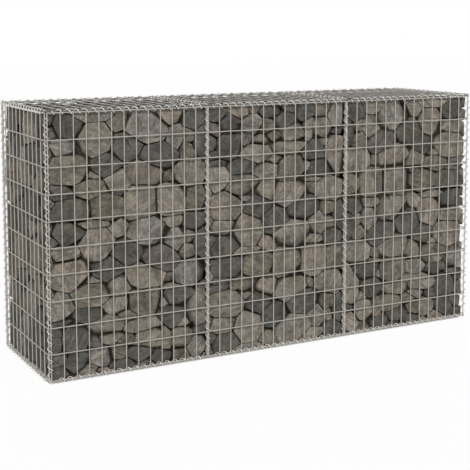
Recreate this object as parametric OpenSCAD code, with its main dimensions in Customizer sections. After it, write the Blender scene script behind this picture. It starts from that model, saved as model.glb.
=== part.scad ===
// Gabion wall: three cages of welded mesh stand in a row, laced together
// along every edge with spiral binders and filled with stone.
// Millimetres. X runs along the wall, the front faces -Y, Z is up, and the
// origin lies on the ground under the middle of the wall.

/* [Mesh panels] */
// Spacing of the close wires
fine_pitch = 50; // [40:1:65]
// Spacing of the level wires on the upright panels
coarse_pitch = 100; // [75:1:130]
// Close cells along one cage
cells_long = 13; // [6:1:20]
// Close cells from front to back
cells_deep = 11; // [6:1:16]
// Level cells up the wall
cells_high = 10; // [4:1:12]
// Thickness of the mesh wire
mesh_wire_d = 4; // [3:0.1:5]
// How far two crossing wires sink into each other at the weld
weld_sink = 0.4; // [0.2:0.05:0.8]
// Gap between the edge wires of neighbouring cages
seam_gap = 0.4; // [0.2:0.1:2]

/* [Spiral binders] */
// Outside diameter of a spiral
spiral_outer_d = 21; // [20:0.5:25]
// Thickness of the spiral wire
spiral_wire_d = 3; // [2:0.1:3.5]
// Turns of a spiral to one level cell, or to two close cells
spiral_turns = 3; // [2:1:3]
// Clearance between a spiral and the wires it binds
seat_gap = 0.3; // [0.1:0.05:0.4]
// How far a spiral stops short of the end of its edge
spiral_stop = 16; // [14:1:30]

/* [Stone fill] */
// Room between the fill and the mesh beside and above it
fill_gap = 6; // [4:0.5:12]
// Chamfer on the edges of the fill
fill_chamfer = 14; // [14:1:30]
// Room round a stone that has settled through a cell of the base
toe_gap = 3; // [2:0.5:8]

/* [Hidden] */
BAYS = ["left", "middle", "right"];
SIDES = ["left", "right"];
FACES = ["front", "back"];
bar_sides = 8;
toe_sides = 7;
// Facets of a spiral round its bend and round its wire
bend_sides = 48;
wire_sides = 16;
// One cell in so many of the base has let a stone settle through it
toe_every = 3;
// Bends that are joined into one run of a spiral before the runs are joined
run_bends = 9;
steel = [0.68, 0.67, 0.64];
stone = [0.43, 0.40, 0.36];

// Quarter bends joined with a roll between them make a spiral. For one roll
// angle these give the turn, the rise and the radius at the joints, the last
// two for a bend of radius 1.
function bend_turn(roll) = acos((cos(roll) - 1) / 2);
function bend_rise(roll) = sin(roll) / sin(bend_turn(roll));
function bend_joint_r(roll) =
    sqrt(2 - pow(bend_rise(roll), 2)) / (2 * sin(bend_turn(roll) / 2));
function bend_crown_r(roll) =
    bend_joint_r(roll) * cos(bend_turn(roll) / 2) + 1 - cos(45);
function bend_pitch(roll) = bend_rise(roll) * 360 / bend_turn(roll);
// The roll at which pitch over crown radius comes to a wanted ratio, by halving
function roll_for(ratio, low = 5, high = 85, steps = 40) =
    let (mid = (low + high) / 2)
    steps == 0 ? mid
    : bend_pitch(mid) / bend_crown_r(mid) < ratio ? roll_for(ratio, mid, high, steps - 1)
    : roll_for(ratio, low, mid, steps - 1);

// Spirals: centre-line radius, pitch along the two kinds of edge, and the
// distance from a spiral's axis at which it holds an edge wire
spiral_crown_r = (spiral_outer_d - spiral_wire_d) / 2;
upright_pitch = coarse_pitch / spiral_turns;
level_pitch = 2 * fine_pitch / spiral_turns;
upright_roll = roll_for(upright_pitch / spiral_crown_r);
level_roll = roll_for(level_pitch / spiral_crown_r);
function joint_r(roll) = spiral_crown_r * bend_joint_r(roll) / bend_crown_r(roll);
function reach(roll) = joint_r(roll) - (spiral_wire_d + mesh_wire_d) / 2 - seat_gap;
upright_reach = reach(upright_roll);
level_reach = reach(level_roll);

// Steps between wire layers and across corners and seams. The base and cover
// lie so far below and above the uprights that a seam spiral holds a divider's
// edge and the edges of two covers at once.
function beside(hold, off) = sqrt(pow(hold, 2) - pow(off, 2));
wire_r = mesh_wire_d / 2;
layer_step = mesh_wire_d - weld_sink;
corner_step = sqrt(2) * upright_reach;
seam_half = (mesh_wire_d + seam_gap) / 2;
seam_drop = beside(level_reach, layer_step / 2);
end_rise = seam_drop + beside(level_reach, seam_half);
end_run = beside(2 * level_reach, end_rise);
edge_rise = end_rise - layer_step;
edge_run = beside(2 * level_reach, edge_rise);

// Length: the edge wires of the cages and the seams between them
bay_w = cells_long * fine_pitch;
bay_step = bay_w + 2 * seam_half;
function bay_x0(i) = (i - len(BAYS) / 2) * bay_step + seam_half;
function bay_x1(i) = bay_x0(i) + bay_w;
wall_x = bay_x1(len(BAYS) - 1);
seam_x = [for (i = [1 : len(BAYS) - 1]) bay_x0(i) - seam_half];

// Depth: the layers of the front, the ends, the dividers, the base and the cover
end_half = cells_deep * fine_pitch / 2;
front_fine_y = end_half + corner_step;
front_coarse_y = front_fine_y + layer_step;
front_edge_y = front_coarse_y - edge_run / 2;
level_half = front_coarse_y - edge_run;
seam_axis_y = front_fine_y - beside(upright_reach, seam_half);
divider_half = seam_axis_y - beside(upright_reach, layer_step / 2);
end_fine_x = wall_x + corner_step;
end_coarse_x = end_fine_x + layer_step;
level_end_x = end_coarse_x - end_run;

// Height: from the ground to the bottom edge wires, and the layers above it
edge_z = max(end_rise / 2, seam_drop) + spiral_outer_d / 2;
upright_h = cells_high * coarse_pitch;
wall_h = upright_h + 2 * edge_z;

// Where the wires stand in each kind of panel
function lattice(from, pitch, count) = [for (i = [0 : count]) from + i * pitch];
function inner(list) = [for (i = [1 : len(list) - 2]) list[i]];
depth_wires = lattice(-end_half, fine_pitch, cells_deep);
height_wires = lattice(edge_z, coarse_pitch, cells_high);
divider_depths = concat(-divider_half, inner(depth_wires), divider_half);
level_rows = concat(
    -level_half,
    [for (y = [1.5 * fine_pitch - end_half : 2 * fine_pitch : end_half - fine_pitch / 2]) y],
    level_half);
function front_wires(i) = lattice(bay_x0(i), fine_pitch, cells_long);
function level_wires(i) = concat(
    i == 0 ? -level_end_x : bay_x0(i),
    inner(front_wires(i)),
    i == len(BAYS) - 1 ? level_end_x : bay_x1(i));

// A straight mesh wire up +Z with flats towards the panel's own faces
module bar(from, to) {
    translate([0, 0, from - wire_r])
        rotate([0, 0, 180 / bar_sides])
            cylinder(
                d = mesh_wire_d / cos(180 / bar_sides),
                h = to - from + mesh_wire_d,
                $fn = bar_sides);
}

module bar_along_x(from, to) {
    rotate([0, 90, 0]) bar(from, to);
}

module bar_along_y(from, to) {
    rotate([-90, 0, 0]) bar(from, to);
}

function last(list) = list[len(list) - 1];

// Welded mesh that faces along Y: close wires upright, level wires across them
module mesh_facing_y(xs, zs, fine_y, coarse_y) {
    color(steel) {
        for (x = xs) translate([x, fine_y, 0]) bar(zs[0], last(zs));
        for (z = zs) translate([0, coarse_y, z]) bar_along_x(xs[0], last(xs));
    }
}

// Welded mesh that faces along X
module mesh_facing_x(ys, zs, fine_x, coarse_x) {
    color(steel) {
        for (y = ys) translate([fine_x, y, 0]) bar(zs[0], last(zs));
        for (z = zs) translate([coarse_x, 0, z]) bar_along_y(ys[0], last(ys));
    }
}

// Level welded mesh: close wires from front to back, a few rows along the wall
module mesh_level(xs, ys, fine_z, coarse_z) {
    color(steel) {
        for (x = xs) translate([x, 0, fine_z]) bar_along_y(ys[0], last(ys));
        for (y = ys) translate([0, y, coarse_z]) bar_along_x(xs[0], last(xs));
    }
}

module front_panel(i) {
    mesh_facing_y(front_wires(i), height_wires, -front_fine_y, -front_coarse_y);
}

module back_panel(i) {
    mesh_facing_y(front_wires(i), height_wires, front_fine_y, front_coarse_y);
}

module end_panel(side) {
    mesh_facing_x(depth_wires, height_wires, side * end_fine_x, side * end_coarse_x);
}

module divider_panel(i) {
    mesh_facing_x(
        divider_depths, height_wires,
        seam_x[i] - layer_step / 2, seam_x[i] + layer_step / 2);
}

module base_panel(i) {
    mesh_level(level_wires(i), level_rows, edge_z - end_rise, edge_z - edge_rise);
}

module cover_panel(i) {
    mesh_level(
        level_wires(i), level_rows,
        wall_h - edge_z + end_rise, wall_h - edge_z + edge_rise);
}

// A rectangle with its four corners cut off
module cut_corner_plate(x0, y0, x1, y1, cut) {
    polygon([
        [x0 + cut, y0], [x1 - cut, y0], [x1, y0 + cut], [x1, y1 - cut],
        [x1 - cut, y1], [x0 + cut, y1], [x0, y1 - cut], [x0, y0 + cut]]);
}

// The stone of one cage as one mass: it lies on the rows of the base, and a
// few stones have settled between them down to the ground
module stone_fill(i) {
    side_gap = wire_r + fill_gap;
    x0 = i == 0 ? -end_fine_x + side_gap : bay_x0(i) - seam_half + layer_step / 2 + side_gap;
    x1 = i == len(BAYS) - 1 ? end_fine_x - side_gap
        : bay_x1(i) + seam_half - layer_step / 2 - side_gap;
    y1 = front_fine_y - side_gap;
    z0 = edge_z - edge_rise + wire_r;
    z1 = wall_h - edge_z + edge_rise - side_gap;
    xs = front_wires(i);
    toe_d = fine_pitch - mesh_wire_d - 2 * toe_gap;
    color(stone) {
        intersection() {
            linear_extrude(z1) cut_corner_plate(x0, -y1, x1, y1, fill_chamfer);
            translate([x0, 0, 0])
                rotate([90, 0, 90])
                    linear_extrude(x1 - x0) cut_corner_plate(-y1, z0, y1, z1, fill_chamfer);
            translate([0, y1, 0])
                rotate([90, 0, 0])
                    linear_extrude(2 * y1) cut_corner_plate(x0, z0, x1, z1, fill_chamfer);
        }
        for (r = [0 : len(level_rows) - 2],
                c = [1 + r % toe_every : toe_every : cells_long - 2])
            translate([xs[c] + fine_pitch / 2, (level_rows[r] + level_rows[r + 1]) / 2, 0])
                cylinder(d = toe_d, h = z0 + fill_chamfer, $fn = toe_sides);
    }
}

// One quarter bend of a spiral: from the origin along +X, turning towards +Y
module quarter_bend(bend_r) {
    translate([0, bend_r, 0])
        rotate([0, 0, -90])
            rotate_extrude(angle = 90, $fn = bend_sides)
                translate([bend_r, 0])
                    circle(d = spiral_wire_d, $fn = wire_sides);
}

// Moves its child on by some bends, each one rolled about the wire's own line
module after_bends(count, bend_r, roll) {
    if (count == 0)
        children();
    else
        multmatrix([
            [0, -cos(roll), sin(roll), bend_r],
            [1, 0, 0, bend_r],
            [0, sin(roll), cos(roll), 0]])
            after_bends(count - 1, bend_r, roll) children();
}

// A spiral up +Z round the axis of an edge that starts at the origin. At the
// edge's first cross wire it stands at the angle at_wire, seen from above.
module spiral(edge_length, pitch, roll, at_wire, hand) {
    bend_r = spiral_crown_r / bend_crown_r(roll);
    turn = bend_turn(roll);
    rise = bend_r * bend_rise(roll);
    bends = floor((edge_length - 2 * spiral_stop) / rise);
    start = (edge_length - bends * rise) / 2;
    axis = [sin(roll), sin(roll), 1 + cos(roll)] / (2 * sin(turn));
    step = [bend_r, bend_r, 0] - rise * axis;
    centre = step / 2 + cross(axis, step) / (2 * tan(turn / 2));
    out = -centre / norm(centre);
    along = cross(axis, out);
    color(steel)
        translate([0, 0, start])
            rotate([0, 0, at_wire + hand * 360 * start / pitch])
                mirror([0, hand < 0 ? 1 : 0, 0])
                    multmatrix([
                        concat(out, -out * centre),
                        concat(along, -along * centre),
                        concat(axis, -axis * centre)])
                        for (i = [0 : run_bends : bends - 1])
                            after_bends(i, bend_r, roll)
                                for (k = [0 : min(run_bends, bends - i) - 1])
                                    after_bends(k, bend_r, roll) quarter_bend(bend_r);
}

// Spirals up the wall, wound left-handed
module upright_spiral(x, y, at_wire) {
    translate([x, y, edge_z])
        spiral(upright_h, upright_pitch, upright_roll, at_wire, -1);
}

// Spirals along the wall, one to each cage, wound right-handed. Their angle is
// counted from the back towards the top.
module long_spirals(y, z, at_wire) {
    for (i = [0 : len(BAYS) - 1])
        translate([bay_x0(i), y, z])
            rotate([90, 0, 90])
                spiral(bay_w, level_pitch, level_roll, at_wire, 1);
}

// Spirals from front to back, wound right-handed
module deep_spiral(x, z) {
    translate([x, -end_half, z])
        rotate([-90, 0, 0])
            spiral(2 * end_half, level_pitch, level_roll, 0, 1);
}

// A spiral stays clear of a mesh by standing well away from the directions in
// which the cross wires leave their edge, at every cross wire.
corner_at_wire = 45;
long_at_wire = -25;

module corner_spiral(side, face) {
    upright_spiral(
        side * (wall_x + corner_step / 2), face * (front_fine_y - corner_step / 2),
        face * side * corner_at_wire + (side > 0 ? 180 : 0));
}

module seam_spiral(i, face) {
    upright_spiral(seam_x[i], face * seam_axis_y, 0);
}

module top_spiral_face(face) {
    long_spirals(
        face * front_edge_y, wall_h - edge_z + edge_rise / 2, -face * long_at_wire);
}

module bottom_spiral_face(face) {
    long_spirals(face * front_edge_y, edge_z - edge_rise / 2, face * long_at_wire);
}

module top_spiral_end(side) {
    deep_spiral(side * (end_coarse_x - end_run / 2), wall_h - edge_z + end_rise / 2);
}

module bottom_spiral_end(side) {
    deep_spiral(side * (end_coarse_x - end_run / 2), edge_z - end_rise / 2);
}

module top_spiral_seam(i) {
    deep_spiral(seam_x[i], wall_h - edge_z + seam_drop);
}

module bottom_spiral_seam(i) {
    deep_spiral(seam_x[i], edge_z - seam_drop);
}

for (i = [0 : len(BAYS) - 1]) {
    front_panel(i);
    back_panel(i);
    base_panel(i);
    cover_panel(i);
    stone_fill(i);
}

for (s = [0, 1], side = [2 * s - 1]) {
    end_panel(side);
    divider_panel(s);
    top_spiral_end(side);
    top_spiral_seam(s);
    bottom_spiral_end(side);
    bottom_spiral_seam(s);
}

for (f = [0, 1], face = [2 * f - 1]) {
    top_spiral_face(face);
    bottom_spiral_face(face);
    for (s = [0, 1], side = [2 * s - 1]) {
        corner_spiral(side, face);
        seam_spiral(s, face);
    }
}
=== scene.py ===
# %% [markdown]
# # A gabion wall
# A gabion is a cage of welded wire filled with stone. This wall has three of
# them in a row. The mesh panels come from the CAD model, which has every wire
# in its place. The spirals that lace the panels together and the stones are
# made here, because a light tube and a rounded stone are surfaces that a few
# lines of numpy describe well.

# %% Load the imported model
import math

import bpy
import numpy as np
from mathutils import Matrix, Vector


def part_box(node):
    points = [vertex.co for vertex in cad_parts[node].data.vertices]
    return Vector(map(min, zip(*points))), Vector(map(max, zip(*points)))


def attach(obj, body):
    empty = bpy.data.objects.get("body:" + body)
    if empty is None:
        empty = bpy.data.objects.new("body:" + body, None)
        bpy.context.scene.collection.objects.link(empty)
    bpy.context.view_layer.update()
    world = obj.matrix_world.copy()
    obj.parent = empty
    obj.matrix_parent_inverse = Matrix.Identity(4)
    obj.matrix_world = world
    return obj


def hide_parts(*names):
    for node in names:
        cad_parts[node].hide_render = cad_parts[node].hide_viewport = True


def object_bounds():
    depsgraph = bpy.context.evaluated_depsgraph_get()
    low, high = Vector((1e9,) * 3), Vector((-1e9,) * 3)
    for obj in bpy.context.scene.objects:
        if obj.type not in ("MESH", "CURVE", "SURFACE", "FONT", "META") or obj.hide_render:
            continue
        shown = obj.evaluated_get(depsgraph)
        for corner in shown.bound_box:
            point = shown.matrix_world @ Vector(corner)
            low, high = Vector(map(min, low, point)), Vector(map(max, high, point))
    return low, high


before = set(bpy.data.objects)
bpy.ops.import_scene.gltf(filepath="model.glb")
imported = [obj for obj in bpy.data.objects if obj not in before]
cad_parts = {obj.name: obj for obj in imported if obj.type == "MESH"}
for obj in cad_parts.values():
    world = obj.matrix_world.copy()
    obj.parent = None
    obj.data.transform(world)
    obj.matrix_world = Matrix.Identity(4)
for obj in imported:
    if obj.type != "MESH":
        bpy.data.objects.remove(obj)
cad_low, cad_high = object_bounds()
print("the wall measures", [round(v, 3) for v in cad_high - cad_low], "m")

# %% [markdown]
# ## From arrays to a mesh
# Every new piece is worked out as arrays of points and faces in metres, in the
# same frame as the CAD. One helper puts the arrays into a mesh. It could build
# the mesh point by point with bmesh, but foreach_set hands over a whole array
# at once, which matters with hundreds of stones.

# %% A helper that makes a piece
def add_piece(name, points, faces, material):
    """Makes an object at the origin from points (n, 3) and a list of face
    arrays, each with one row of point numbers per face."""
    mesh = bpy.data.meshes.new(name)
    mesh.vertices.add(len(points))
    mesh.vertices.foreach_set("co", points.astype(np.float32).ravel())
    corners = np.concatenate([f.ravel() for f in faces]).astype(np.int32)
    sizes = np.concatenate([np.full(len(f), f.shape[1]) for f in faces])
    starts = (np.cumsum(sizes) - sizes).astype(np.int32)
    mesh.loops.add(len(corners))
    mesh.loops.foreach_set("vertex_index", corners)
    mesh.polygons.add(len(sizes))
    mesh.polygons.foreach_set("loop_start", starts)
    mesh.polygons.foreach_set("use_smooth", np.ones(len(sizes), bool))
    mesh.update(calc_edges=True)
    mesh.materials.append(material)
    piece = bpy.data.objects.new(name, mesh)
    bpy.context.scene.collection.objects.link(piece)
    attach(piece, "root")
    return piece


def add_attribute(piece, name, kind, values):
    """Gives every point of a piece a value that its material can read."""
    attribute = piece.data.attributes.new(name, kind, "POINT")
    field = {"FLOAT": "value", "FLOAT_VECTOR": "vector", "FLOAT_COLOR": "color"}[kind]
    attribute.data.foreach_set(field, values.astype(np.float32).ravel())


def linear(red, green, blue):
    """Turns a colour as a screen shows it, 0 to 255, into the linear values
    that shaders use."""
    shown = np.array([red, green, blue]) / 255
    return np.where(shown < 0.04045, shown / 12.92, ((shown + 0.055) / 1.055) ** 2.4)


# %% Helpers for shader nodes
def node_adder(tree):
    """A function that adds a node to a tree. Its settings come first, and each
    input is linked to a socket or set to a value."""
    def node(kind, inputs=None, **settings):
        made = tree.nodes.new("ShaderNode" + kind)
        for key, value in settings.items():
            setattr(made, key, value)
        for key, value in (inputs or {}).items():
            if isinstance(value, bpy.types.NodeSocket):
                tree.links.new(value, made.inputs[key])
            else:
                made.inputs[key].default_value = value
        return made

    return node


def new_material(name):
    """A material, its shader, and functions that add a node and a link."""
    material = bpy.data.materials.new(name)
    material.use_nodes = True
    tree = material.node_tree
    return material, tree.nodes["Principled BSDF"], node_adder(tree), tree.links.new


# %% [markdown]
# ## Galvanised wire
# The wire is steel dipped in zinc. Zinc is a dull, slightly warm grey that
# still reflects: it shines along the top of a wire, and it carries a fine
# bloom of lighter and darker crystals. Object coordinates are enough for that,
# because the bloom has no direction, so the CAD panels need no UV map. The
# spirals are a brighter wire than the panels. The cover's wire is a darker
# copy of the panels' zinc, as painted shade on the top of the wall. The rows of
# the cover lie under its close wires, and painted shade makes them darker
# still.

# %% The wire's material
ZINC_RAMP = (0.45, 0.96)
DULLER = 0.18
METALLIC = 0.40
# Painted shade on the cover's rows: how dark they get, and over what height it fades in.
SHADE_LEVEL, SHADE_EDGE = 0.32, 0.001


def zinc_finish(name, dark, light, smooth, shaded=None):
    """Zinc whose colour runs from dark to light with its bloom and crystals,
    and whose roughness starts at smooth. Below the height shaded it is darker,
    with painted shade."""
    material, shader, node, link = new_material(name)
    place = node("TexCoord").outputs["Object"]
    bloom = node("TexNoise", {"Vector": place, "Scale": 55.0, "Detail": 4.0})
    crystals = node("TexVoronoi", {"Vector": place, "Scale": 420.0})
    mixed = node("Math", {0: bloom.outputs["Fac"], 1: crystals.outputs["Distance"]},
                 operation="ADD")
    tone = node("ValToRGB", {"Fac": mixed.outputs[0]})
    for stop, position, colour in zip(tone.color_ramp.elements, ZINC_RAMP, (dark, light)):
        stop.position, stop.color = position, (*colour, 1)
    dull = node("MapRange", {"Value": bloom.outputs["Fac"], "From Min": 0.3, "From Max": 0.7,
                             "To Min": smooth, "To Max": smooth + DULLER})
    colour = tone.outputs["Color"]
    if shaded is not None:
        # Below the height shaded the colour is scaled down: painted shade.
        height = node("SeparateXYZ", {0: place}).outputs["Z"]
        unshaded = node("MapRange", {"Value": height, "From Min": shaded - SHADE_EDGE,
                                  "From Max": shaded, "To Min": SHADE_LEVEL, "To Max": 1.0})
        colour = node("VectorMath", {0: colour, "Scale": unshaded.outputs["Result"]},
                      operation="SCALE").outputs[0]
    link(colour, shader.inputs["Base Color"])
    link(dull.outputs["Result"], shader.inputs["Roughness"])
    shader.inputs["Metallic"].default_value = METALLIC
    return material


zinc = zinc_finish("galvanised_wire", linear(142, 138, 131), linear(186, 181, 173), 0.42)
bright_zinc = zinc_finish("bright_spiral_wire", linear(178, 176, 172), linear(218, 216, 211), 0.34)
cover_low, cover_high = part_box("cover_panel_middle")
# The cover's wire is a darker copy of the panels' zinc: painted shade on the top of the wall.
cover_zinc = zinc_finish("cover_wire", linear(136, 134, 129), linear(178, 175, 169), 0.50,
                         (cover_low.z + cover_high.z) / 2)

PANELS = [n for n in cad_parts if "_panel_" in n]
for name in PANELS:
    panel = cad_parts[name]
    panel.data.materials.clear()
    panel.data.materials.append(cover_zinc if "cover" in name else zinc)
print(len(PANELS), "mesh panels keep their CAD shape")

# %% [markdown]
# ## Spiral binders
# Each edge of a cage is laced with a spring-like spiral that is screwed along
# the two or three edge wires it holds. A curve object with a bevel would give
# the shape, but here the tube is worked out directly: a round profile carried
# along a helix. The CAD spirals are exact bends with very many faces, so each
# is measured and replaced by a lighter tube in the same place, with the same
# number of turns and the same angle at every cross wire.

# %% The shape of a spiral
SPIRAL_PITCH = 0.1 / 3
SPIRAL_WIRE_R = 0.0017
TURN_STEPS = 16
TUBE_SIDES = 8


def spiral_tube(centre, directions, start, stop, radius, phase):
    """A round profile carried along a helix. At the height s the centre line
    stands at the angle phase + 2 pi s / pitch; the profile is a circle in the
    plane of the outward direction and of the normal to both it and the path.
    directions holds the two directions across the axis and the axis."""
    across, beside, axis = directions
    steps = int(round((stop - start) / SPIRAL_PITCH * TURN_STEPS))
    s = np.linspace(start, stop, steps + 1)[:, None]
    angle = phase + 2 * np.pi * s / SPIRAL_PITCH
    out = np.cos(angle) * across + np.sin(angle) * beside
    ahead = -np.sin(angle) * across + np.cos(angle) * beside
    slope = 2 * np.pi * radius / SPIRAL_PITCH
    rise = (slope * axis - ahead) / math.hypot(1, slope)
    path = centre + s * axis + radius * out
    round_angle = np.linspace(0, 2 * np.pi, TUBE_SIDES, endpoint=False)[None, :, None]
    tube = (path[:, None] + SPIRAL_WIRE_R * (
        np.cos(round_angle) * out[:, None] + np.sin(round_angle) * rise[:, None]))
    points = np.concatenate([tube.reshape(-1, 3), path[:1], path[-1:]])
    i, k = np.meshgrid(np.arange(steps), np.arange(TUBE_SIDES), indexing="ij")
    k1 = (k + 1) % TUBE_SIDES
    sides = np.stack([i * TUBE_SIDES + k, i * TUBE_SIDES + k1,
                      (i + 1) * TUBE_SIDES + k1, (i + 1) * TUBE_SIDES + k], -1)
    ring, ring1 = k[0], k1[0]
    end, first = steps * TUBE_SIDES, (steps + 1) * TUBE_SIDES
    caps = np.concatenate([
        np.stack([ring1, ring, np.full(TUBE_SIDES, first)], -1),
        np.stack([ring + end, ring1 + end, np.full(TUBE_SIDES, first + 1)], -1)])
    return points, sides.reshape(-1, 4), caps


# %% Measure each CAD spiral and wind a lighter one in its place
def cad_points(name):
    """All points of a CAD node as an array."""
    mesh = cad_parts[name].data
    flat = np.zeros(len(mesh.vertices) * 3, np.float32)
    mesh.vertices.foreach_get("co", flat)
    return flat.reshape(-1, 3).astype(float)


def spiral_runs(points, along):
    """Splits a node's points where the spirals of two cages meet: a jump of
    more than half a turn between neighbours along the axis."""
    s = np.sort(points[:, along])
    gaps = np.flatnonzero(np.diff(s) > SPIRAL_PITCH / 2)
    edges = np.concatenate([[s[0] - 1], (s[gaps] + s[gaps + 1]) / 2, [s[-1] + 1]])
    return [points[(points[:, along] > a) & (points[:, along] < b)]
            for a, b in zip(edges[:-1], edges[1:])]


def wind_spiral(name):
    """Replaces one CAD spiral. Its axis is the middle of its box, and its
    phase is the mean of each point's angle less the angle of the helix. The
    length of that mean says how well the two agree, 1 at best."""
    points = cad_points(name)
    along = int(np.argmax(np.ptp(points, axis=0)))
    axis = np.eye(3)[along]
    across, beside = np.eye(3)[(along + 1) % 3], np.eye(3)[(along + 2) % 3]
    if along == 2:
        beside = -beside
    shapes, agreement = [], 1
    for run in spiral_runs(points, along):
        low, high = run.min(0), run.max(0)
        centre = (low + high) / 2 * (1 - axis)
        radius = (high - low)[along - 1] / 2 - SPIRAL_WIRE_R
        angle = np.arctan2((run - centre) @ beside, (run - centre) @ across)
        turned = np.exp(1j * (angle - 2 * np.pi * run[:, along] / SPIRAL_PITCH)).mean()
        shapes.append(spiral_tube(
            centre, (across, beside, axis), low[along] + SPIRAL_WIRE_R,
            high[along] - SPIRAL_WIRE_R, radius, np.angle(turned)))
        agreement = min(agreement, abs(turned))
    counts = np.cumsum([0] + [len(p) for p, _, _ in shapes])
    faces = [f + c for (_, quads, caps), c in zip(shapes, counts) for f in (quads, caps)]
    if along == 2:
        faces = [f[:, ::-1] for f in faces]
    piece = add_piece(name + "_wire", np.concatenate([p for p, _, _ in shapes]),
                      faces, bright_zinc)
    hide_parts(name)
    return len(shapes), agreement


SPIRALS = [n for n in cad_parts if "_spiral_" in n]
wound = [wind_spiral(n) for n in SPIRALS]
print(sum(w[0] for w in wound), "spirals wound in", len(SPIRALS), "nodes; they follow",
      "the CAD turns to at least", round(min(w[1] for w in wound), 3))

# %% [markdown]
# ## Where the stones lie
# A gabion is packed by hand: the stones of each face are laid one by one, flat
# side outwards, and the rest is tipped in behind them. The same is done here.
# The stones of one face are listed in centimetres from the lower left corner
# of the cage: how far along, how high, how wide and how tall, by the kind of
# stone. A face made by chance alone has the right sizes, but it never gets the
# long flat stones that bridge two others and the wedges between them, which
# are what makes a laid face look laid.

# %% The stones of one face
FACE_STONES = {
    "brown grey": (
        (8.8, 38.8, 16, 11), (19.3, 49.3, 12, 13.2), (28.2, 55.3, 7, 5.5), (51, 55.7, 8, 3.8),
        (58.2, 49, 3.5, 5), (38.8, 35.6, 16, 9.8), (28, 33.2, 9.3, 8), (17.8, 36, 4, 2),
        (50, 30.2, 6, 1.8), (0.8, 32.5, 2.5, 3), (31.3, 20.8, 5.5, 3), (61.5, 20.5, 9, 16),
        (55.2, 15, 3.6, 3), (22.8, 17.6, 13.5, 7.5), (25.3, 12.8, 10, 3.8), (38, 16.2, 15, 4.8),
        (40.3, 10.4, 11.5, 7), (47.6, 9.8, 3.8, 8.5), (54.7, 9.1, 9, 9.2), (15.8, 1.2, 7.5, 4.5),
        (21.3, 0.3, 4, 2.5), (37.8, 64.8, 13.5, 12), (50.2, 65, 12, 12)),
    "dark grey": (
        (8.5, 54.7, 11, 8.3), (60.3, 55.2, 9.5, 7), (62.8, 47, 4.5, 10), (31.5, 46, 12, 10),
        (23.5, 39.8, 11.5, 9), (16, 22.8, 11.5, 5.6), (53, 25.8, 13.5, 8), (50.5, 18, 10.5, 9),
        (10.5, 15, 10.5, 9.5), (3.8, 17.5, 3, 3.5), (5, 20.9, 9.5, 2.6), (10.6, 5.4, 9.5, 7.3),
        (3.6, 2, 7.5, 4.5), (30, 1.8, 10.5, 5), (36, 4.6, 10, 6.3), (46.3, 2, 9, 5.6),
        (9.3, 63.6, 13, 7.5)),
    "middle grey": (
        (46, 41.8, 15, 9.5), (2, 52.3, 4.5, 4.5), (1, 57, 3, 4), (2.2, 13, 5, 7),
        (18.3, 12, 4.5, 4.5), (62, 10.6, 5.5, 3.2), (4.2, 7.4, 6, 5), (38.5, 0.4, 6, 3),
        (6.5, 68.8, 7, 2.5), (28.5, 68.8, 4, 2), (6, 71.4, 8, 3)),
    "pale layered": (
        (7.5, 47.2, 10.3, 6.3), (18.8, 57.2, 11, 2.6), (40.5, 52.5, 18.5, 10.3), (52, 49, 7, 9),
        (58.3, 35, 12.5, 10.5), (5.5, 27, 7.5, 10), (27.3, 25.2, 10.5, 6), (47, 24, 2.6, 2.4),
        (61, 4.5, 7.5, 9), (20.7, 6, 8.8, 7.8), (1, 66, 3, 11)),
    "olive": (
        (1, 45, 3, 6), (57, 43, 6, 6.5), (49.3, 33.8, 3.6, 4), (17, 30.5, 14, 8.5),
        (39.3, 25.4, 13, 9.5), (30.5, 11.5, 8, 3.6), (27.8, 6.7, 5.5, 6), (54.2, 1.6, 6.5, 4.5),
        (24, 64.2, 13, 9.5), (61, 64, 8, 9.5), (17, 71.0, 13, 5.5)),
}
COURSE_LOW, COURSE_HIGH, COURSE_STEP = 33, 58.5, 40


def face_rows():
    """The listed stones as an array of x, z, width, height in metres and the
    number of the kind. The middle course comes again one step higher."""
    rows = np.array([(*row, kind) for kind, rows in enumerate(FACE_STONES.values())
                     for row in rows])
    again = rows[(rows[:, 1] >= COURSE_LOW) & (rows[:, 1] <= COURSE_HIGH)]
    rows = np.concatenate([rows, again + [0, COURSE_STEP, 0, 0, 0]])
    return rows * [0.01, 0.01, 0.01, 0.01, 1]


print(len(face_rows()), "stones in a face")

# %% [markdown]
# ## One face for six places
# The left cage shows the listed face as it is. The middle cage has it upside
# down and a little lower, the right one mirrored, and the backs have it turned
# half round, so six faces come from one list and no two neighbours look alike.
# A stone that would stick out of the cage is cut down to the room there is.

# %% The room in a cage, and a face laid in it
BAYS = ("left", "middle", "right")
TURNS = {"left": (1, 1), "middle": (1, -1), "right": (-1, 1)}
FACE_DEPTH, DEPTH_SPREAD = 0.050, 0.003
DIVIDER_ROOM = 0.001
LEAST_HALF = 0.008
NEAR_END, DRAWN_SHARE = 0.035, 0.8
UPSIDE_DROP = 0.020


def cage_room(bay):
    """The lowest and highest corner of the room that the stones fill, and
    which of its six sides are seen: low x, y, z and high x, y, z. It is the
    box of the fill, above the rows of the base and out to the dividers."""
    low, high = (np.array(c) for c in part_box("stone_fill_" + bay))
    low[2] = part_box("base_panel_" + bay)[1].z
    if bay != BAYS[0]:
        left = "divider_panel_left" if bay == "middle" else "divider_panel_right"
        low[0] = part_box(left)[1].x + DIVIDER_ROOM
    if bay != BAYS[-1]:
        right = "divider_panel_left" if bay == "left" else "divider_panel_right"
        high[0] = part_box(right)[0].x - DIVIDER_ROOM
    seen = np.array([bay == BAYS[0], True, False, bay == BAYS[-1], True, True])
    return low, high, seen


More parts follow.
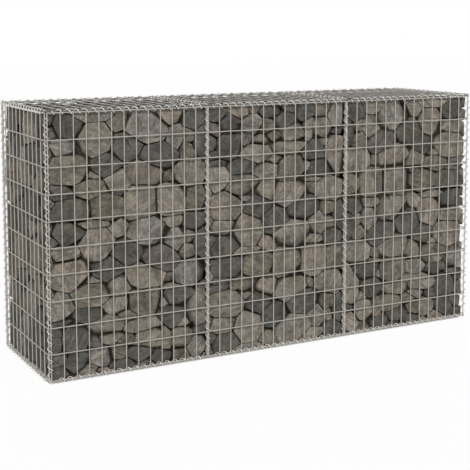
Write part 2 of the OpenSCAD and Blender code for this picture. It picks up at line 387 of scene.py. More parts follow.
def laid_face(rng, bay, behind):
    """Middles, half sizes and kinds of the stones of a front or back face.
    Most stones near the end of a cage are drawn out to it, and a face that is
    upside down has sunk a little."""
    low, high, _ = cage_room(bay)
    panel_low, panel_high = (np.array(c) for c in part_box("front_panel_" + bay))
    rows = face_rows()
    width, height = (panel_high - panel_low)[[0, 2]]
    turn = np.array(TURNS[bay]) * (-1 if behind else 1)
    spot = np.where(turn > 0, rows[:, :2], [width, height] - rows[:, :2]) + panel_low[[0, 2]]
    spot[:, 1] -= UPSIDE_DROP * (turn[1] < 0)
    edge_low = np.maximum(spot - rows[:, 2:4] / 2, low[[0, 2]])
    edge_high = np.minimum(spot + rows[:, 2:4] / 2, high[[0, 2]])
    drawn = rng.random(len(rows)) < DRAWN_SHARE
    edge_low[drawn & (edge_low[:, 0] - low[0] < NEAR_END), 0] = low[0]
    edge_high[drawn & (high[0] - edge_high[:, 0] < NEAR_END), 0] = high[0]
    spot = ((edge_low + edge_high) / 2).clip(low[[0, 2]] + LEAST_HALF, high[[0, 2]] - LEAST_HALF)
    half = np.maximum((edge_high - edge_low) / 2, LEAST_HALF)
    depth = FACE_DEPTH + rng.uniform(-DEPTH_SPREAD, DEPTH_SPREAD, len(rows))
    y = high[1] - depth if behind else low[1] + depth
    return (np.stack([spot[:, 0], y, spot[:, 1]], -1),
            np.stack([half[:, 0], np.full(len(rows), FACE_DEPTH), half[:, 1]], -1),
            rows[:, 4].astype(int))


room_low, room_high, _ = cage_room("middle")
print("room in the middle cage", [round(float(v), 3) for v in room_high - room_low], "m")

# %% [markdown]
# ## The rest of the fill
# The ends, the top and the bottom get stones too, and the core behind them.
# These are thrown in one after another, the big ones first, and each is kept
# if it does not crowd an earlier one. A rigid body simulation would pack them
# too, but it leaves wide gaps between round bodies.

# %% Throw stones into the rest of a cage
STONE_SEED = 11
THROWS, CORE_THROWS = 2600, 1300
BIG_STONE, SMALL_STONE, SIZE_FALL = 0.150, 0.050, 1.3
STRETCH = 0.28
CROWDING = 0.88
CORE_STONE, CORE_INSET = 0.125, 0.075
LEAST_DEPTH = 0.020
SIDE_SHARES = {"end": 0.34, "top": 0.33, "bottom": 0.33}
BEHIND_FACE = 0.115


def thrown_stones(rng, bay, spot, half):
    """Adds stones to those already laid. A stone of a side lies FACE_DEPTH
    behind it, clear of the faces, and the core is filled last. From the first
    throw to the last the girth falls from big to small as a power of the
    throws that are left."""
    low, high, seen = cage_room(bay)
    size = high - low
    girth = SMALL_STONE + (BIG_STONE - SMALL_STONE) * np.linspace(1, 0, THROWS) ** SIZE_FALL
    behind = np.array([0, BEHIND_FACE, 0])
    new = low + behind + (size - 2 * behind) * rng.random((THROWS, 3))
    side = rng.choice(3, THROWS, p=list(SIDE_SHARES.values()))
    end = high[0] - FACE_DEPTH if seen[3] else low[0] + FACE_DEPTH
    if not (seen[0] or seen[3]):
        side = np.maximum(side, 1)
    new[side == 0, 0] = end
    new[side == 1, 2] = high[2] - FACE_DEPTH
    new[side == 2, 2] = low[2] + FACE_DEPTH
    stretch = np.exp(rng.uniform(-STRETCH, STRETCH, (THROWS, 3)))
    new_half = girth[:, None] / 2 * stretch
    new_half[np.arange(THROWS), np.array([0, 2, 2])[side]] = FACE_DEPTH
    core = low + CORE_INSET + (size - 2 * CORE_INSET) * rng.random((CORE_THROWS, 3))
    new = np.concatenate([new, core]).clip(low + LEAST_DEPTH, high - LEAST_DEPTH)
    new_half = np.concatenate([new_half, np.full(core.shape, CORE_STONE / 2)])
    laid = len(spot)
    spot, half = np.concatenate([spot, new]), np.concatenate([half, new_half])
    girth = 2 * np.cbrt(half.prod(1))
    kept = list(range(laid))
    for i in range(laid, len(spot)):
        away = np.linalg.norm(spot[kept] - spot[i], axis=1)
        if np.all(away > CROWDING * (girth[kept] + girth[i]) / 2):
            kept.append(i)
    return spot[kept], half[kept]


rng = np.random.default_rng(STONE_SEED)
KIND_SHARES = np.array([0.36, 0.27, 0.07, 0.17, 0.13])
beds = {}
for bay in BAYS:
    faces = [laid_face(rng, bay, behind) for behind in (False, True)]
    spot, half, kind = (np.concatenate(part) for part in zip(*faces))
    spot, half = thrown_stones(rng, bay, spot, half)
    more = rng.choice(len(KIND_SHARES), len(spot) - len(kind), p=KIND_SHARES)
    beds[bay] = spot, half, np.concatenate([kind, more])
print("stones in each cage:", [len(beds[bay][0]) for bay in BAYS])

# %% [markdown]
# ## The shape of a stone
# Every stone fills the room that its neighbours leave it. Between two stones
# lies a plane, nearer to the smaller one; these planes and the sides of the
# cage bound a block with flat faces. A broken stone has flat faces too, but
# its edges are knocked off, so the block is softened: along each direction the
# surface lies where a power mean of all planes puts it, and a lower power
# gives a rounder stone. Slow waves then dent the faces. A ball of even
# triangles would need thousands of points to keep an edge crisp. Here the rings
# and spokes of a grid follow the outline of the stone's face, so a few hundred
# do.

# %% Directions on a stone, as a grid of rings and spokes
LAST_RING = 2.9
PLAIN_EDGE = 0.9
FINE_GRID = (0.38, 0.66, 0.86, 0.95, 1.0), (0.035, 0.12, 0.32, 0.65), 30
SMALL_GRID = (0.50, 0.88, 1.0), (0.06, 0.25, 0.65), 20
CORE_GRID = (0.45, 1.0), (0.25, 0.5, 0.8), 10


def grid_directions(edge, spoke, grid, frames):
    """Directions from the pole of each frame down to the other pole. Along a
    spoke the face ends at the angle edge: some rings lie at fractions of its
    tangent, the others on the sides, at fractions of the way to the last."""
    on_face, on_sides, _ = (np.array(part) for part in grid)
    ring = np.concatenate([
        np.arctan(on_face[:, None] * np.tan(edge)[:, None]),
        edge[:, None] + on_sides[:, None] * (LAST_RING - edge)[:, None]], axis=1)
    spoke = np.broadcast_to(spoke[:, None], ring.shape)
    around = np.stack([np.sin(ring) * np.cos(spoke), np.sin(ring) * np.sin(spoke),
                       np.cos(ring)], -1).reshape(len(ring), -1, 3)
    poles = np.broadcast_to([[0, 0, 1], [0, 0, -1]], (len(ring), 2, 3))
    return np.einsum("ngc,ncd->ngd", np.concatenate([around, poles], axis=1), frames)


def even_spokes(count, stones):
    """The same angles for every stone, evenly round its pole."""
    turn = np.linspace(0, 2 * np.pi, count, endpoint=False)
    return np.broadcast_to(turn, (stones, count))


def grid_faces(grid):
    """The bands between the rings of a grid, and the caps around its poles."""
    rings, spokes = len(grid[0]) + len(grid[1]), grid[2]
    i, k = np.meshgrid(np.arange(rings - 1), np.arange(spokes), indexing="ij")
    k1 = (k + 1) % spokes
    bands = np.stack([i * spokes + k, (i + 1) * spokes + k,
                      (i + 1) * spokes + k1, i * spokes + k1], -1).reshape(-1, 4)
    foot, top = (rings - 1) * spokes, rings * spokes
    caps = np.concatenate([
        np.stack([np.full(spokes, top), k[0], k1[0]], -1),
        np.stack([foot + k[0], np.full(spokes, top + 1), foot + k1[0]], -1)])
    return bands, caps


print("points on a large and on a small stone:",
      [(len(g[0]) + len(g[1])) * g[2] + 2 for g in (FINE_GRID, SMALL_GRID)])

# %% The planes that bound each stone
JOINT = (0.0001, 0.0015)
NEIGHBOURS = 26
CHIPS, CHIP_DEPTH = 6, 0.004
LEAN, LEAN_SLACK = 0.030, 0.30
SUNK_SHAPE, SUNK, PAST = 1.2, 0.0020, 0.003
LEAST_SHARE, LEAST_REACH = 0.15, 0.008
AT_FACE, AT_END = 0.060, 0.120
FAR_AWAY = 10
WALLS = np.concatenate([-np.eye(3), np.eye(3)])


def unit(vectors):
    """Each vector over its own length."""
    return vectors / np.linalg.norm(vectors, axis=-1, keepdims=True)


def soft_reach(directions, normals, distances, power):
    """How far each stone reaches: the power mean of its planes, that is, one
    over the power root of the sum of (cosine over distance) to that power."""
    cosine = np.einsum("ngc,nkc->ngk", directions, normals).clip(0)
    ratio = (cosine / distances[:, None]) ** power[:, None, None]
    return ratio.sum(-1) ** (-1 / power[:, None])


def joint_planes(spot, half):
    """The plane between every two stones. Each stone is taken as an ellipsoid
    with its half sizes. The plane crosses the line between the two middles in
    the ratio of the two radii along it, and its normal is the mean of the two
    ellipsoids' normals there, so two flat stones get a flat joint. A stone is
    put far away from itself, so that it never counts as its own neighbour."""
    apart = spot[None] - spot[:, None] + FAR_AWAY * np.eye(len(spot))[..., None]
    away = np.linalg.norm(apart, axis=-1)
    way = apart / away[..., None]
    own = ((way / half[:, None]) ** 2).sum(-1) ** -0.5
    other = ((way / half[None]) ** 2).sum(-1) ** -0.5
    normal = unit(way * (own[..., None] / half[:, None]) ** 2
                  + way * (other[..., None] / half[None]) ** 2)
    return normal, (normal * way).sum(-1) * away * own / (own + other)


def stone_planes(rng, spot, half, low, high, seen, power, packed):
    """Normals and distances, from each stone's own middle, of the planes to
    its nearest neighbours, of the six sides of the cage, and of a few chips
    that were knocked off, but not at the end of the wall, where whole stones
    are laid. Behind a side that is seen a stone leans and lies a little back;
    past one that isn't it runs on and is cut off flat."""
    normals, distances = np.zeros((len(spot), 0, 3)), np.zeros((len(spot), 0))
    if packed:
        normal, share = joint_planes(spot, half)
        near = np.argsort(share, axis=1)[:, :NEIGHBOURS]
        rows = np.arange(len(spot))[:, None]
        normals = normal[rows, near]
        distances = share[rows, near] - rng.uniform(*JOINT, near.shape)
        distances = np.maximum(distances, LEAST_SHARE * half.min(1)[:, None])
    lean = rng.normal(0, LEAN, (len(spot), *WALLS.shape)) * seen[:, None]
    back = np.where(seen, rng.gamma(SUNK_SHAPE, SUNK, (len(spot), len(WALLS))), -PAST)
    slack = LEAN_SLACK * half.max(1)[:, None] * np.linalg.norm(lean, axis=-1)
    room = np.concatenate([spot - low, high - spot], axis=1)
    normals = np.concatenate([normals, unit(WALLS + lean)], axis=1)
    reach = np.maximum(room - back - slack, LEAST_REACH)
    distances = np.concatenate([distances, reach], axis=1)
    plain = np.full((1, CORE_GRID[2]), PLAIN_EDGE), even_spokes(CORE_GRID[2], 1)
    ways = unit(grid_directions(*plain, CORE_GRID, np.eye(3)[None]) * half[:, None])
    rough_shape = ways * soft_reach(ways, normals, distances, power)[..., None]
    chips = unit(rng.normal(size=(len(spot), CHIPS, 3)))
    laid = packed & (room[:, [1, 4]].min(1) < AT_FACE)
    for side, inward in ((0, 1), (3, -1)):
        whole = laid & seen[side] & (room[:, side] < AT_END)
        chips[whole, :, 0] = inward * np.abs(chips[whole, :, 0])
    farthest = np.einsum("ngc,nkc->ngk", rough_shape, chips).max(1)
    chipped = farthest - rng.uniform(0, CHIP_DEPTH, farthest.shape)
    return (np.concatenate([normals, chips], axis=1),
            np.concatenate([distances, chipped], axis=1))


print("a stone has", NEIGHBOURS, "neighbours,", len(WALLS), "sides and", CHIPS, "chips")

# %% Rings and spokes that follow the outline of a face
LOOKS = 144
BEND_SHARE = 0.5
EDGE_RANGE, HALVINGS = (0.20, 1.40), 11


def face_edge(spoke, frames, normals, distances, face):
    """How far off the pole the face ends along each spoke. Halving a range of
    angles finds where another plane is met before the face's own."""
    own = (np.arange(normals.shape[1]) == face[:, None])[:, None]
    least, most = (np.full(spoke.shape, angle) for angle in EDGE_RANGE)
    for _ in range(HALVINGS):
        middle = (least + most) / 2
        way = grid_directions(middle, spoke, ((1.0,), (), 0), frames)[:, :-2]
        met = np.einsum("ngc,nkc->ngk", way, normals / distances[..., None])
        past = np.where(own, -1, met).max(-1) > np.where(own, met, -1).max(-1)
        least, most = np.where(past, least, middle), np.where(past, middle, most)
    return least


def outline_spokes(edge, spoke, count):
    """Shares spokes out around a face, some by the length of its outline and
    BEND_SHARE by how much it bends, so that its corners stay sharp."""
    outline = np.tan(edge) * np.exp(1j * spoke)
    step = np.roll(outline, -1, axis=1) - outline
    bend = np.abs(np.angle(step / np.roll(step, 1, axis=1)))
    length = (np.abs(step) + np.abs(np.roll(step, 1, axis=1))) / 2
    share = (BEND_SHARE * bend / bend.sum(1, keepdims=True)
             + (1 - BEND_SHARE) * length / length.sum(1, keepdims=True))
    reached = np.pad(np.cumsum(share, axis=1), ((0, 0), (1, 0)))
    bins = np.pi * (2 * np.arange(LOOKS + 1) - 1) / LOOKS
    wanted = (np.arange(count) + 0.5) / count
    return np.stack([np.interp(wanted, r, bins) for r in reached])


def stone_ways(grid, frames, normals, distances, face):
    """The directions of a grid for each stone, fitted to its face, or plain
    ones if no plane counts as its face."""
    if face is None:
        spoke = even_spokes(grid[2], len(frames))
        return grid_directions(np.full(spoke.shape, PLAIN_EDGE), spoke, grid, frames)
    look = even_spokes(LOOKS, len(frames))
    edge = face_edge(look, frames, normals, distances, face)
    spoke = outline_spokes(edge, look, grid[2])
    edge = face_edge(spoke, frames, normals, distances, face)
    return grid_directions(edge, spoke, grid, frames)


# %% Slow waves that dent a surface
WAVES = 24


def dents(rng, points, longest, shortest):
    """A sum of plane waves in random directions, each with its own length:
    about -1 to 1, and the same for the same points."""
    length = np.exp(rng.uniform(np.log(shortest), np.log(longest), WAVES))
    wave = unit(rng.normal(size=(WAVES, 3))) * (2 * np.pi / length)[:, None]
    phase = rng.uniform(0, 2 * np.pi, WAVES)
    weight = np.sqrt(length / length.max())
    return np.sin(points @ wave.T + phase) @ weight / np.sqrt((weight ** 2).sum() * 0.5) / 2


# %% [markdown]
# ## The colour of a stone
# The fill is quarry stone of five kinds: a warm brown grey, a dark grey, a
# middle grey, a pale one with fine layers and an olive one. Each stone gets
# the colour of its kind, a little lighter or darker, as an attribute on its
# points. Its points also carry their place in the stone's own turned frame, so
# that the layers run a different way in each stone. The third attribute says
# how deep a point lies in a joint, or how near the top under the cover; there
# painted shade mixes in a dark earth colour.

# %% Kinds of stone
KIND_COLOURS = np.array([linear(125, 119, 110), linear(87, 85, 80), linear(96, 92, 88),
                         linear(125, 121, 114), linear(107, 102, 92)])
KIND_SPREAD = np.array([0.07, 0.07, 0.07, 0.06, 0.07])
KIND_PATTERN = np.array([1.0, 1.0, 1.05, 1.12, 1.25])
HUE_SPREAD = 0.008


def stone_tints(rng, kind):
    """One colour for each stone: its kind's, times e to the power of a normal
    draw with that kind's spread. A fourth value says how strong its pattern
    is."""
    lift = np.exp(rng.normal(0, 1, len(kind)) * KIND_SPREAD[kind])
    hue = 1 + rng.normal(0, HUE_SPREAD, (len(kind), 3))
    return np.column_stack([KIND_COLOURS[kind] * lift[:, None] * hue, KIND_PATTERN[kind]])


# %% [markdown]
# ## The stone's finish
# Broken stone is matt. Its colour varies in several ways: broad warmer and
# cooler patches, mottling, fine layers that run through it, a few thin dark
# veins and a speckle of grains. Noise textures give all of them, the layers by
# squeezing the noise along one axis of the stone's own frame, and the veins
# where another noise crosses its middle value. The earth in the joints is dark
# and crumbly, and its colour is also painted onto the stones deep in a joint
# and under the top, as painted shade. The same noises drive a bump for what is
# too fine for the mesh.

# %% The noises in the stone
stone, stone_shader, node, link = new_material("field_stone")
tint = node("Attribute", attribute_name="stone_tint")
grain = node("Attribute", attribute_name="stone_grain").outputs["Vector"]
# The share of dark earth colour: painted shade on the stones deep in a joint or under the top, and
# the earth itself on the fines.
earth_and_shade_share = node("Attribute", attribute_name="earth_and_painted_shade").outputs["Fac"]
patches = node("TexNoise", {"Vector": grain, "Scale": 13.0, "Detail": 2.0})
mottle = node("TexNoise", {"Vector": grain, "Scale": 22.0, "Detail": 6.0,
                           "Roughness": 0.64})
squeezed = node("Mapping", {"Vector": grain, "Scale": (9.0, 14.0, 110.0)})
layers = node("TexNoise", {"Vector": squeezed.outputs[0], "Scale": 1.0, "Detail": 5.0,
                           "Distortion": 0.7})
veins = node("TexNoise", {"Vector": grain, "Scale": 16.0, "Detail": 4.0, "Distortion": 0.5})
clouds = node("TexNoise", {"Vector": grain, "Scale": 85.0, "Detail": 4.0,
                           "Roughness": 0.6})
speckle = node("TexNoise", {"Vector": grain, "Scale": 260.0, "Detail": 3.0})


def as_factor(value, low, high, from_low=0.3, from_high=0.7):
    """Spreads a noise's usual range over the given factors."""
    spread = node("MapRange", {"Value": value, "From Min": from_low, "From Max": from_high,
                               "To Min": low, "To Max": high})
    return spread.outputs["Result"]


# %% The stone's colour
off_middle = node("Math", {0: veins.outputs["Fac"], 1: 0.5}, operation="SUBTRACT")
off_middle = node("Math", {0: off_middle.outputs[0]}, operation="ABSOLUTE")
warmth = node("Mix", {"Factor": as_factor(patches.outputs["Fac"], 0, 1),
                      "A": (0.97, 1.0, 1.015, 1), "B": (1.045, 0.995, 0.925, 1)},
              data_type="RGBA")
colour = node("VectorMath", {0: tint.outputs["Color"], 1: warmth.outputs["Result"]},
              operation="MULTIPLY").outputs[0]
pattern = as_factor(mottle.outputs["Fac"], 0.58, 1.42)
for factor in (as_factor(layers.outputs["Fac"], 0.70, 1.30),
               as_factor(clouds.outputs["Fac"], 0.80, 1.20),
               as_factor(speckle.outputs["Fac"], 0.80, 1.20),
               as_factor(off_middle.outputs[0], 0.62, 1.0, 0.0, 0.014)):
    pattern = node("Math", {0: pattern, 1: factor}, operation="MULTIPLY").outputs[0]
pattern = node("Math", {0: pattern, 1: tint.outputs["Alpha"]}, operation="POWER")
colour = node("VectorMath", {0: colour, "Scale": pattern.outputs[0]},
              operation="SCALE").outputs[0]
# The dark earth colour: the fines' own colour, and painted shade where it is mixed onto the
# stones.
earth_and_shade_colour = node("VectorMath", {0: tuple(linear(60, 54, 47)),
                            "Scale": as_factor(clouds.outputs["Fac"], 0.35, 1.65)},
             operation="SCALE").outputs[0]
colour = node("Mix", {"Factor": earth_and_shade_share, "A": colour, "B": earth_and_shade_colour},
              data_type="RGBA").outputs["Result"]
link(colour, stone_shader.inputs["Base Color"])

# %% The stone's bump
rough = node("Math", {0: mottle.outputs["Fac"], 1: layers.outputs["Fac"]}, operation="ADD")
rough = node("Math", {0: rough.outputs[0], 1: speckle.outputs["Fac"]}, operation="ADD")
bump = node("Bump", {"Height": rough.outputs[0], "Strength": 0.55, "Distance": 0.004})
link(bump.outputs["Normal"], stone_shader.inputs["Normal"])
stone_shader.inputs["Roughness"].default_value = 0.88
stone_shader.inputs["Specular IOR Level"].default_value = 0.25
print("stone finish made")

# %% [markdown]
# ## Lay the stones
# All stones of a cage become one piece, which stands for that cage's fill. The
# outer ones get the fine grid with its pole turned outwards, where they are
# seen, and a coarser one if they are small. At a corner the front or the back
# comes first. The core stones are hidden and are not built: they only take up
# room, so that the outer ones end before them.

# %% Frames for the stones, and the painted shade in a joint
# Painted shade deep in a joint: the depth where it starts and where it is full.
JOINT_SHADE = (0.006, 0.022)
# Painted shade just under the top of the fill, under the cover: how deep it reaches and how strong
# it is.
TOP_SHADE = (0.012, 0.80)
UNSEEN = 1


def turned_frames(pole, rng):
    """Three directions at right angles for each stone, the last one the pole."""
    helper = unit(rng.normal(size=pole.shape))
    first = unit(np.cross(helper, pole))
    return np.stack([first, np.cross(pole, first), pole], axis=1)


def joint_shade(points, low, high, seen):
    """How deep each point lies in a joint: its depth behind the sides that are
    seen, less that of its stone's foremost point, runs from 0 to 1 over the
    range JOINT_SHADE, and that much painted shade is mixed in. A side that isn't
    seen counts as a metre away. Just under the top, painted shade darkens the
    stones as well."""
    sides = np.concatenate([points - low, high - points], axis=-1)
    under = np.where(seen, sides, UNSEEN).min(-1)
    own_face = under.min(1, keepdims=True)
    shade = (under - own_face - JOINT_SHADE[0]) / (JOINT_SHADE[1] - JOINT_SHADE[0])
    # Painted shade on the stones just under the cover.
    top_shade = (1 - sides[..., 5] / TOP_SHADE[0]).clip(0, 1) * TOP_SHADE[1] * seen[5]
    return np.maximum(shade, top_shade).clip(0, 1)


# %% Build the stones of one cage
OUTER_DEPTH = 0.075
FACE_FIRST = np.array([0, 0.045, 0, 0, 0.045, 0])
SMALL_GIRTH = 0.062
ROUNDNESS = (42, 85)
DENT, DENT_LENGTHS = 0.0022, (0.110, 0.040)
FINE_DENT, FINE_LENGTHS = 0.0008, (0.030, 0.014)
FULL_DENT = 0.05
DENT_STEP, GRAIN_STEP = 0.7, 3.1


def build_stones(rng, spot, half, kind, low, high, seen, packed=True):
    """Points, faces and attributes of many stones in the room from low to
    high. A point lies at spot + direction * (soft reach - dents), inside the
    room. Each stone reads the dents and the grain at a place of its own, one
    step on from the last stone's."""
    power = rng.uniform(*ROUNDNESS, len(spot))
    low, high = (np.broadcast_to(c, spot.shape) for c in (low, high))
    normals, distances = stone_planes(rng, spot, half, low, high, seen, power, packed)
    tints = stone_tints(rng, kind)
    room = np.concatenate([spot - low, high - spot], axis=1)
    nearest = np.where(seen, room - FACE_FIRST, UNSEEN).argmin(1)
    outer = np.where(seen, room, UNSEEN).min(1) < OUTER_DEPTH
    small = 2 * np.cbrt(half.prod(1)) < SMALL_GIRTH
    frames = turned_frames(WALLS[nearest], rng)
    bedding = turned_frames(unit(rng.normal(size=spot.shape)), rng)
    face = normals.shape[1] - CHIPS - len(WALLS) + nearest
    parts, count = [], 0
    for chosen, grid in ((outer & ~small, FINE_GRID), (outer & small, SMALL_GRID)):
        which = np.flatnonzero(chosen)
        if not len(which):
            continue
        bands, caps = grid_faces(grid)
        planes = normals[which], distances[which]
        ways = stone_ways(grid, frames[which], *planes, face[which] if packed else None)
        reach = soft_reach(ways, *planes, power[which])
        own = ways * reach[..., None] + DENT_STEP * which[:, None, None]
        dent = DENT * (dents(rng, own, *DENT_LENGTHS) + 1) / 2
        dent = dent + FINE_DENT * dents(rng, own, *FINE_LENGTHS)
        reach = reach - dent.clip(0) * np.minimum(reach / FULL_DENT, 1)
        local = ways * reach[..., None]
        inside = low[which, None], high[which, None]
        points = (spot[which, None] + local).clip(*inside)
        shade = joint_shade(points, *inside, seen)
        turned = np.einsum("ngc,ndc->ngd", local, bedding[which])
        turned = turned + GRAIN_STEP * which[:, None, None]
        step = (np.arange(len(which)) * ways.shape[1])[:, None, None] + count
        parts.append((points.reshape(-1, 3), (bands[None] + step).reshape(-1, 4),
                      (caps[None] + step).reshape(-1, 3), shade.ravel(),
                      turned.reshape(-1, 3), np.repeat(tints[which], ways.shape[1], axis=0)))
        count += len(which) * ways.shape[1]
    points, shade, turned, tint = (np.concatenate([p[k] for p in parts]) for k in (0, 3, 4, 5))
    return points, [f for p in parts for f in (p[1], p[2])], shade, turned, tint


# %% [markdown]
# ## Stones that have settled
# The base is open mesh, so small stones sink through it until they lie on the
# ground. Along the foot of the wall they are the dark bumps that close the gap
# under the bottom wires. Each is a block that is softened as the others are, in
# the clear opening of one cell of the base.

# %% One small stone to a cell of the base
CELL, ROW_STEP, BASE_ROWS = 0.050, 0.100, 5
CELL_ROOM = 0.0035
INNER_SHARE = 0.15
SETTLED_KINDS = (1, 2)
SETTLED_TOP, GROUND = 0.018, 0.0006
BEHIND_EDGE = 0.012


def settled_bed(rng, bay):
    """Middles, half sizes, kinds and rooms of the settled stones of one cage:
    in the front and back cells, those at a free end, and a few of the rest.
    They are of the dark and the middle grey kind."""
    low, high, seen = cage_room(bay)
    panel_low, panel_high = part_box("front_panel_" + bay)
    cells = int((panel_high.x - panel_low.x) / CELL)
    x = (panel_low.x + panel_high.x) / 2 + CELL * (np.arange(cells) - (cells - 1) / 2)
    rows = ROW_STEP * (np.arange(BASE_ROWS) - BASE_ROWS // 2)
    y = np.concatenate([[low[1]], rows, [high[1]]])
    at, row = (a.ravel() for a in np.meshgrid(np.arange(cells), np.arange(len(y) - 1)))
    edge = (row == 0) | (row == len(y) - 2)
    edge |= seen[0] & (at == 0) | seen[3] & (at == cells - 1)
    taken = edge | (rng.random(len(at)) < INNER_SHARE)
    at, row = at[taken], row[taken]
    ends = (low[0] + BEHIND_EDGE, high[0] - BEHIND_EDGE)
    x_low = np.maximum(x[at] - CELL / 2 + CELL_ROOM, ends[0])
    x_high = np.minimum(x[at] + CELL / 2 - CELL_ROOM, ends[1])
    y_low = np.maximum(y[row] + CELL_ROOM, low[1] + BEHIND_EDGE)
    y_high = np.minimum(y[row + 1] - CELL_ROOM, high[1] - BEHIND_EDGE)
    room_low = np.stack([x_low, y_low, np.full(len(at), GROUND)], -1)
    room_high = np.stack([x_high, y_high, np.full(len(at), SETTLED_TOP)], -1)
    kind = rng.choice(SETTLED_KINDS, len(at))
    return (room_low + room_high) / 2, (room_high - room_low) / 2, kind, room_low, room_high


# %% [markdown]
# ## Fines between the stones
# Rubble and earth fill the middle of a cage. They are seen only at the bottom
# of the joints, as a brown ground, so a plain block does for them.

# %% The block of fines
FINES_DEPTH = np.array([0.018, 0.027, 0.020, 0.018, 0.020, 0.026])


def fines_block(bay):
    """Eight corners and six sides of the block, behind the sides of a cage
    that are seen and up to those that aren't."""
    low, high, seen = cage_room(bay)
    low, high = low + (FINES_DEPTH * seen)[:3], high - (FINES_DEPTH * seen)[3:]
    points = np.where(np.indices((2, 2, 2)).reshape(3, -1).T, high, low)
    return points, np.array([[0, 1, 3, 2], [4, 6, 7, 5], [0, 4, 5, 1],
                             [2, 3, 7, 6], [0, 2, 6, 4], [1, 5, 7, 3]])


# %% Put each cage's stones together
for bay in BAYS:
    fill = build_stones(rng, *beds[bay], *cage_room(bay))
    settled = build_stones(rng, *settled_bed(rng, bay), np.ones(len(WALLS), bool), packed=False)
    block, sides = fines_block(bay)
    fines = block, [sides], np.ones(8), block, np.ones((8, 4))
    points, shade, turned, tint = (np.concatenate([fill[k], settled[k], fines[k]])
                                   for k in (0, 2, 3, 4))
    faces = fill[1] + [f + len(fill[0]) for f in settled[1]]
    faces.append(sides + len(fill[0]) + len(settled[0]))
    piece = add_piece("stones_" + bay, points, faces, stone)
    add_attribute(piece, "stone_tint", "FLOAT_COLOR", tint)
    add_attribute(piece, "stone_grain", "FLOAT_VECTOR", turned)
    # The share of dark earth colour: painted shade on the stones, the earth itself on the fines.
    add_attribute(piece, "earth_and_painted_shade", "FLOAT", shade)
    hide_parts("stone_fill_" + bay)
    triangles = sum(len(f) * (f.shape[1] - 2) for f in faces)
    print("stones_" + bay, len(points), "points", triangles, "triangles")

# %% [markdown]
# ## Floor and light
# The wall stands on a pale floor that runs out of sight, in soft light from
# all sides with a broad lamp from the front left and a weaker one opposite it,
# which lights the back. The floor and the sky look white to the camera and in
# reflections, and the floor keeps a faint shadow.

# %% What the camera and reflections see
def background_rays(node):
    """1 for a ray from the camera, off a shiny surface or through a clear one,
    and 0 for the light that falls on the wall."""
    rays = node("LightPath")
    seen = rays.outputs["Is Camera Ray"]
    for ray in ("Is Glossy Ray", "Is Transmission Ray"):
        seen = node("Math", {0: seen, 1: rays.outputs[ray]}, operation="ADD",
                    use_clamp=True).outputs[0]
    return seen


# %% The floor
FLOOR_HALF, FLOOR_DROP = 30.0, 0.001
floor_mesh = bpy.data.meshes.new("floor")
floor_mesh.from_pydata(
    [(-FLOOR_HALF, -FLOOR_HALF, 0), (FLOOR_HALF, -FLOOR_HALF, 0),
     (FLOOR_HALF, FLOOR_HALF, 0), (-FLOOR_HALF, FLOOR_HALF, 0)], [], [(0, 1, 2, 3)])
floor = bpy.data.objects.new("floor", floor_mesh)
floor.location.z = -FLOOR_DROP
bpy.context.scene.collection.objects.link(floor)
print("the floor is", 2 * FLOOR_HALF, "m wide")

# %% A floor that looks white and keeps a faint shadow
FLOOR_SHADOW, UNDER_EDGE = 0.030, 0.040
FLOOR_GLOW = 0.965
pale, pale_shader, node, link = new_material("pale_floor")
pale_shader.inputs["Base Color"].default_value = (0.86, 0.86, 0.86, 1)
pale_shader.inputs["Roughness"].default_value = 0.9
white = node("Emission", {"Color": (1, 1, 1, 1), "Strength": 1.0})
spot_on_floor = node("SeparateXYZ", {0: node("TexCoord").outputs["Object"]})
beyond = []
for axis, half in (("X", cad_high.x - UNDER_EDGE), ("Y", cad_high.y - UNDER_EDGE)):
    away = node("Math", {0: spot_on_floor.outputs[axis]}, operation="ABSOLUTE")
    away = node("Math", {0: away.outputs[0], 1: half}, operation="SUBTRACT")
    beyond.append(node("Math", {0: away.outputs[0], 1: 0.0}, operation="MAXIMUM").outputs[0])
farther = node("Math", {0: beyond[0], 1: beyond[1]}, operation="MAXIMUM")
glow = node("MapRange", {"Value": farther.outputs[0], "From Max": FLOOR_SHADOW,
                         "To Max": FLOOR_GLOW}, interpolation_type="SMOOTHSTEP")
share = node("Math", {0: background_rays(node), 1: glow.outputs["Result"]},
             operation="MULTIPLY")
blend = node("MixShader", {0: share.outputs[0], 1: pale_shader.outputs[0], 2: white.outputs[0]})
link(blend.outputs[0], pale.node_tree.nodes["Material Output"].inputs["Surface"])
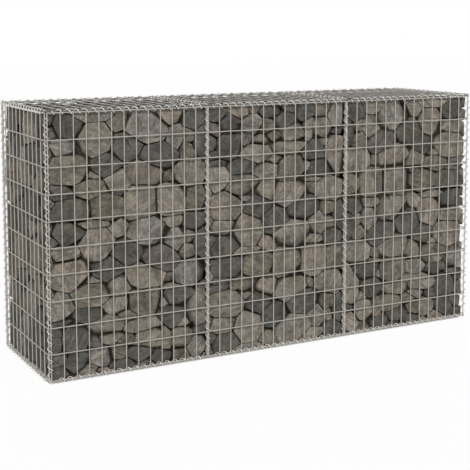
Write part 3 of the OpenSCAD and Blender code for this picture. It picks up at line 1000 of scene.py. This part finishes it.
floor_mesh.materials.append(pale)
print("the shadow fades out over", FLOOR_SHADOW, "m")

# %% The sky
ZENITH, HORIZON = 0.12, 0.68
world = bpy.data.worlds.new("soft_sky")
world.use_nodes = True
bpy.context.scene.world = world
node = node_adder(world.node_tree)
upward = node("SeparateXYZ", {0: node("TexCoord").outputs["Generated"]})
fall_off = node("MapRange", {"Value": upward.outputs["Z"], "To Min": HORIZON, "To Max": ZENITH})
level = node("Mix", {"Factor": background_rays(node), "A": fall_off.outputs["Result"], "B": 1.0})
sky = world.node_tree.nodes["Background"]
sky.inputs["Color"].default_value = (1, 1, 1, 1)
world.node_tree.links.new(level.outputs["Result"], sky.inputs["Strength"])
print("the sky has a strength of", HORIZON, "at the horizon and", ZENITH, "above")

# %% The lamps
LAMPS = {"broad_lamp": (2.00, 14, (58, 0, -29)), "back_lamp": (1.00, 40, (72, 0, 151))}
for name, (energy, spread, turn) in LAMPS.items():
    lamp_data = bpy.data.lights.new(name, "SUN")
    lamp_data.energy = energy
    lamp_data.angle = math.radians(spread)
    lamp = bpy.data.objects.new(name, lamp_data)
    lamp.rotation_euler = [math.radians(t) for t in turn]
    bpy.context.scene.collection.objects.link(lamp)
print("lamps:", ", ".join(LAMPS))

# %% [markdown]
# ## The camera
# The picture was taken from the front left, a little above the wall, with a
# long lens. Its upright lines stay upright, which a view camera does by
# sliding its lens down. A little of that slide is used here, and the rest is
# a gentle tilt, so that the wall also stays in the frame from other sides.

# %% Set up the camera
TILT, HEADING = 6.14, -28.27
camera_data = bpy.data.cameras.new("camera")
camera_data.sensor_width = 36.0
camera_data.lens = 81.63
camera_data.shift_y = -0.20
camera = bpy.data.objects.new("camera", camera_data)
camera.location = (-2.2014, -3.9929, 1.3275)
camera.rotation_euler = (math.radians(90 - TILT), 0, math.radians(HEADING))
bpy.context.scene.collection.objects.link(camera)
bpy.context.scene.camera = camera
bpy.context.scene.view_settings.view_transform = "Standard"
print("the camera stands at", [round(v, 2) for v in camera.location])
